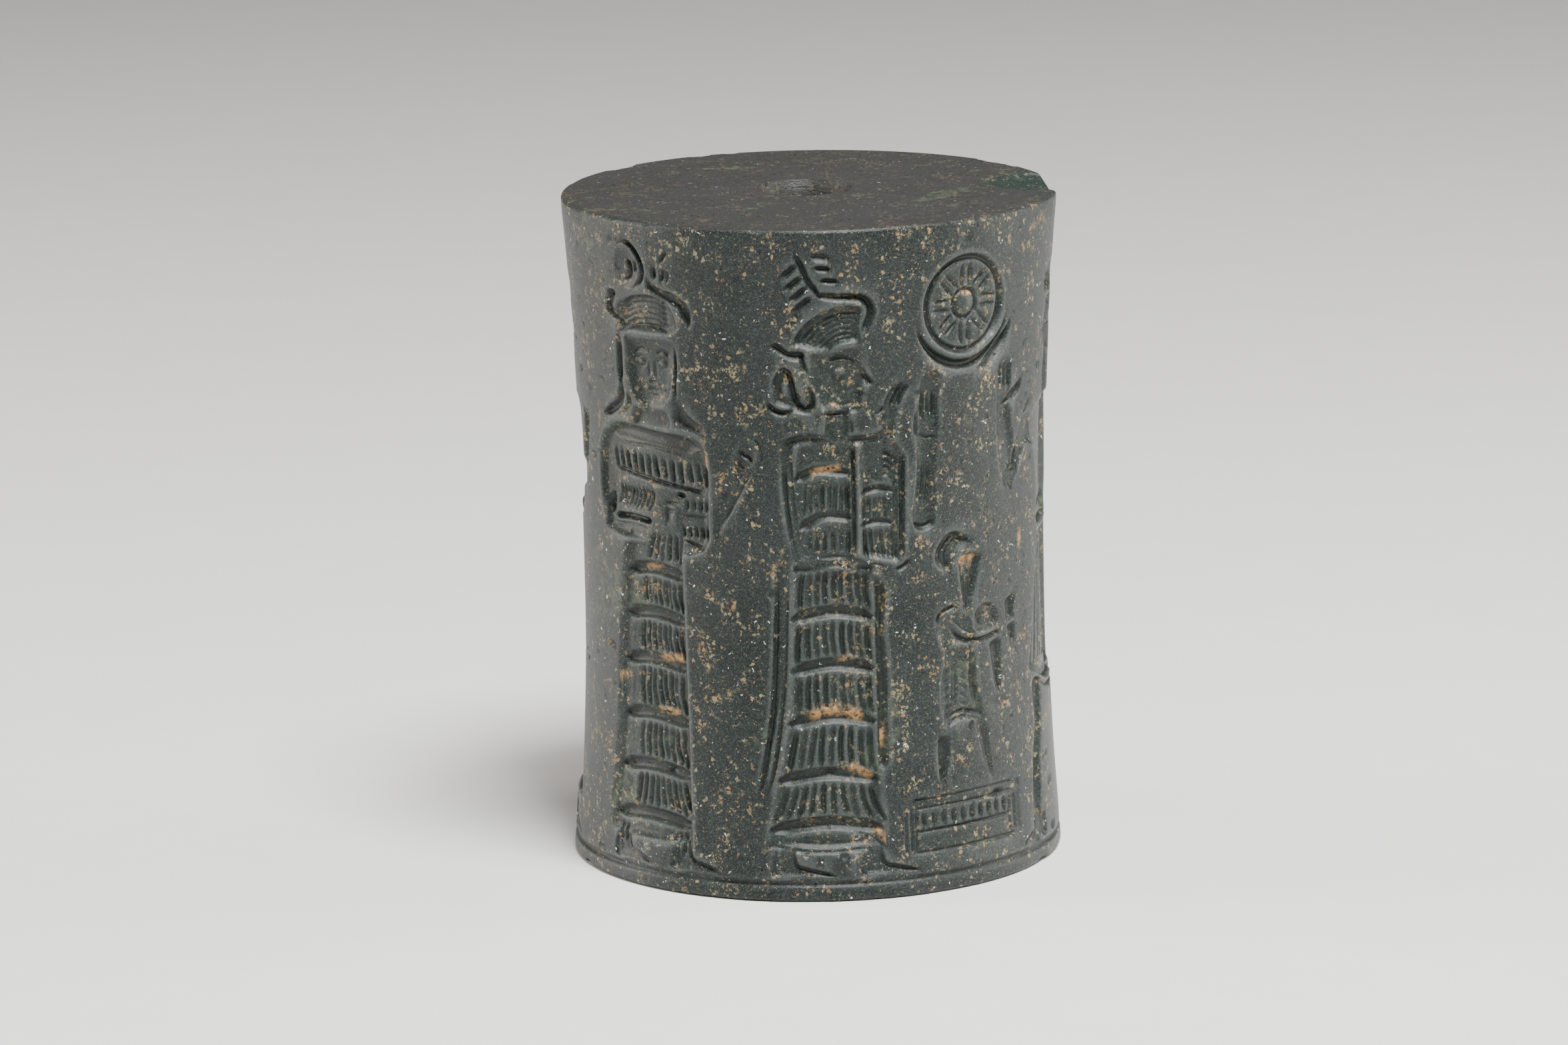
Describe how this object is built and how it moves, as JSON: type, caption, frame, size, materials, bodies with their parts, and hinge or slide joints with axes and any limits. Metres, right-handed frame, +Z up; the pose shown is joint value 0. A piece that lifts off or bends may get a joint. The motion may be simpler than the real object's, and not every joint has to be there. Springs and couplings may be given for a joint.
{
  "type": "cylinder seal",
  "caption": "Small upright stone cylinder, drilled through lengthwise, its hollowed side engraved with standing robed figures, a star in a disc and a podium.",
  "frame": {"origin": "middle of the flat foot that the seal stands on", "axes": "+Z up along the bore, -Y towards the carved front, +X to the right of someone facing that front"},
  "size_m": [0.026, 0.026, 0.0352],
  "materials": {
    "stone": "polished very dark green-black stone with tan flecks, worn to a soft satin, pits, and pale orange earth left in the cuts"
  },
  "bodies": {
    "root": {"seal": "stone"}
  },
  "joints": []
}
